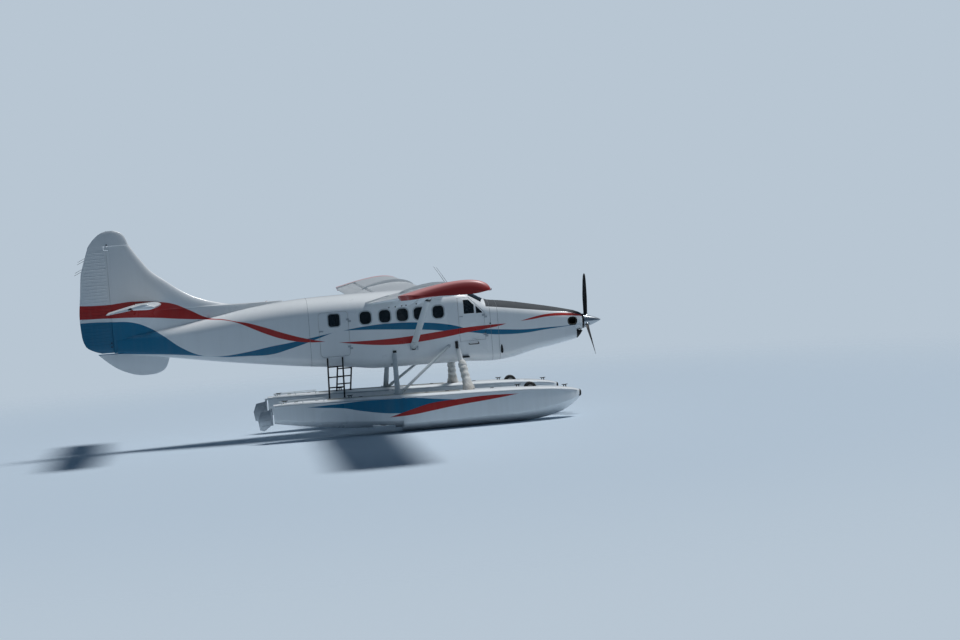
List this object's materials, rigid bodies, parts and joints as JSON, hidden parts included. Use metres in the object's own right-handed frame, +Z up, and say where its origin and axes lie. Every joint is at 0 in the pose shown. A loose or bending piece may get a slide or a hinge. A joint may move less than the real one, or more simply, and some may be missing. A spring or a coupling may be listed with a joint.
{
  "type": "single-engine floatplane on amphibious floats",
  "caption": "High-wing utility floatplane with a turbine nose, a hollow cabin with doors, drooped flaps, twin floats with retracted wheels, and red and blue stripes on white.",
  "frame": {"origin": "on the ground, below the middle of the length and the middle of the span, level with the keels of the floats", "axes": "+X towards the nose, +Y to port (the left wing), +Z up"},
  "size_m": [12.864, 17.68, 5.372],
  "materials": {
    "white_enamel": "gloss white enamel on riveted sheet, with red and blue stripes",
    "white_skin": "gloss white enamel on light alloy wing and tail skins",
    "red_enamel": "gloss brick red enamel",
    "polished_metal": "polished spun aluminium",
    "dark_enamel": "satin black enamel",
    "blade_black": "matt black propeller blade",
    "bare_alloy": "dull anodised strut and fitting",
    "engine_metal": "grey cast and machined engine casing",
    "window": "clear acrylic, lightly tinted",
    "cabin_trim": "grey woven seat cloth",
    "panel_black": "matt black panel",
    "tyre": "black tyre rubber"
  },
  "bodies": {
    "airframe": {"cabin_shell": "white_enamel", "tail_cone": "white_skin", "engine_cowl": "white_enamel", "intake_lip": "dark_enamel", "engine_block": "engine_metal", "exhaust_left": "dark_enamel", "exhaust_right": "dark_enamel", "windscreen": "window", "side_glazing_left": "window", "side_glazing_right": "window", "cabin_seats": "cabin_trim", "pilot_seats": "cabin_trim", "instrument_panel": "panel_black", "wing_left": "white_skin", "wing_right": "white_skin", "wing_tip_left": "red_enamel", "wing_tip_right": "red_enamel", "wing_strut_left": "white_skin", "wing_strut_right": "white_skin", "fin": "white_skin", "ventral_fin": "white_skin", "tailplane": "white_skin", "float_left": "white_enamel", "float_right": "white_enamel", "front_strut_left": "white_skin", "front_strut_right": "white_skin", "rear_strut_left": "white_skin", "rear_strut_right": "white_skin", "diagonal_strut_left": "bare_alloy", "diagonal_strut_right": "bare_alloy", "front_spreader": "bare_alloy", "rear_spreader": "bare_alloy", "ladder_right": "dark_enamel", "ladder_left": "dark_enamel"},
    "propeller": {"spinner": "polished_metal", "propeller_blades": "blade_black"},
    "rudder": {"rudder": "white_skin"},
    "elevator": {"elevator_left": "white_skin", "elevator_right": "white_skin"},
    "flap_left": {"flap_left": "white_skin"},
    "flap_right": {"flap_right": "white_skin"},
    "aileron_left": {"aileron_left": "white_skin"},
    "aileron_right": {"aileron_right": "white_skin"},
    "water_rudder_left": {"water_rudder_left": "bare_alloy"},
    "water_rudder_right": {"water_rudder_right": "bare_alloy"},
    "nose_wheel_left": {"nose_wheel_left": "tyre"},
    "nose_wheel_right": {"nose_wheel_right": "tyre"},
    "main_wheels_left": {"main_wheels_left": "tyre"},
    "main_wheels_right": {"main_wheels_right": "tyre"},
    "cabin_door_right": {"cabin_door_right": "white_enamel"},
    "cargo_door_left": {"cargo_door_left": "white_enamel"},
    "cockpit_door_right": {"cockpit_door_right": "white_enamel"},
    "cockpit_door_left": {"cockpit_door_left": "white_enamel"}
  },
  "joints": [
    {"name": "propeller_spin", "type": "hinge", "parent": "airframe", "child": "propeller", "pos_m": [6.05, 0, 2.235], "axis": [1, 0, 0], "continuous": true},
    {"name": "rudder_swing", "type": "hinge", "parent": "airframe", "child": "rudder", "pos_m": [-5.68, 0, 3.5], "axis": [0, 0, 1], "range_deg": [-25, 25]},
    {"name": "elevator_pitch", "type": "hinge", "parent": "airframe", "child": "elevator", "pos_m": [-5.11, 0, 3.5], "axis": [0, 1, 0], "range_deg": [-5, 36]},
    {"name": "flap_left_droop", "type": "hinge", "parent": "airframe", "child": "flap_left", "pos_m": [0.932, 0.96, 3.19159], "axis": [0, 0.9994, 0.0349], "range_deg": [-42, 3]},
    {"name": "flap_right_droop", "type": "hinge", "parent": "airframe", "child": "flap_right", "pos_m": [0.932, -0.96, 3.19159], "axis": [0, 0.9994, -0.0349], "range_deg": [-42, 3]},
    {"name": "aileron_left_roll", "type": "hinge", "parent": "airframe", "child": "aileron_left", "pos_m": [0.932, 4.62, 3.3194], "axis": [0, 0.9994, 0.0349], "range_deg": [-18, 18]},
    {"name": "aileron_right_roll", "type": "hinge", "parent": "airframe", "child": "aileron_right", "pos_m": [0.932, -4.62, 3.3194], "axis": [0, 0.9994, -0.0349], "range_deg": [-18, 18]},
    {"name": "water_rudder_left_swing", "type": "hinge", "parent": "airframe", "child": "water_rudder_left", "pos_m": [-2.055, 1.5, 0.6], "axis": [0, 0, 1], "range_deg": [-30, 30]},
    {"name": "water_rudder_right_swing", "type": "hinge", "parent": "airframe", "child": "water_rudder_right", "pos_m": [-2.055, -1.5, 0.6], "axis": [0, 0, 1], "range_deg": [-30, 30]},
    {"name": "nose_wheel_left_spin", "type": "hinge", "parent": "airframe", "child": "nose_wheel_left", "pos_m": [4.24, 1.5, 0.78], "axis": [0, 1, 0], "continuous": true},
    {"name": "main_wheels_left_spin", "type": "hinge", "parent": "airframe", "child": "main_wheels_left", "pos_m": [0.61, 1.5, 0.44], "axis": [0, 1, 0], "continuous": true},
    {"name": "nose_wheel_right_spin", "type": "hinge", "parent": "airframe", "child": "nose_wheel_right", "pos_m": [4.24, -1.5, 0.78], "axis": [0, 1, 0], "continuous": true},
    {"name": "main_wheels_right_spin", "type": "hinge", "parent": "airframe", "child": "main_wheels_right", "pos_m": [0.61, -1.5, 0.44], "axis": [0, 1, 0], "continuous": true},
    {"name": "cabin_door_right_swing", "type": "hinge", "parent": "airframe", "child": "cabin_door_right", "pos_m": [0.012, -0.816, 2.4], "axis": [0, 0, 1], "range_deg": [0, 92]},
    {"name": "cargo_door_left_swing", "type": "hinge", "parent": "airframe", "child": "cargo_door_left", "pos_m": [0.212, 0.816, 2.4], "axis": [0, 0, -1], "range_deg": [0, 92]},
    {"name": "cockpit_door_right_swing", "type": "hinge", "parent": "airframe", "child": "cockpit_door_right", "pos_m": [3.386, -0.659, 2.4], "axis": [0, 0, 1], "range_deg": [0, 75]},
    {"name": "cockpit_door_left_swing", "type": "hinge", "parent": "airframe", "child": "cockpit_door_left", "pos_m": [3.386, 0.659, 2.4], "axis": [0, 0, -1], "range_deg": [0, 75]}
  ],
  "couplings": [
    {"joint": "flap_right_droop", "follows": "flap_left_droop", "ratio": 1},
    {"joint": "aileron_right_roll", "follows": "aileron_left_roll", "ratio": -1},
    {"joint": "water_rudder_right_swing", "follows": "water_rudder_left_swing", "ratio": 1}
  ]
}
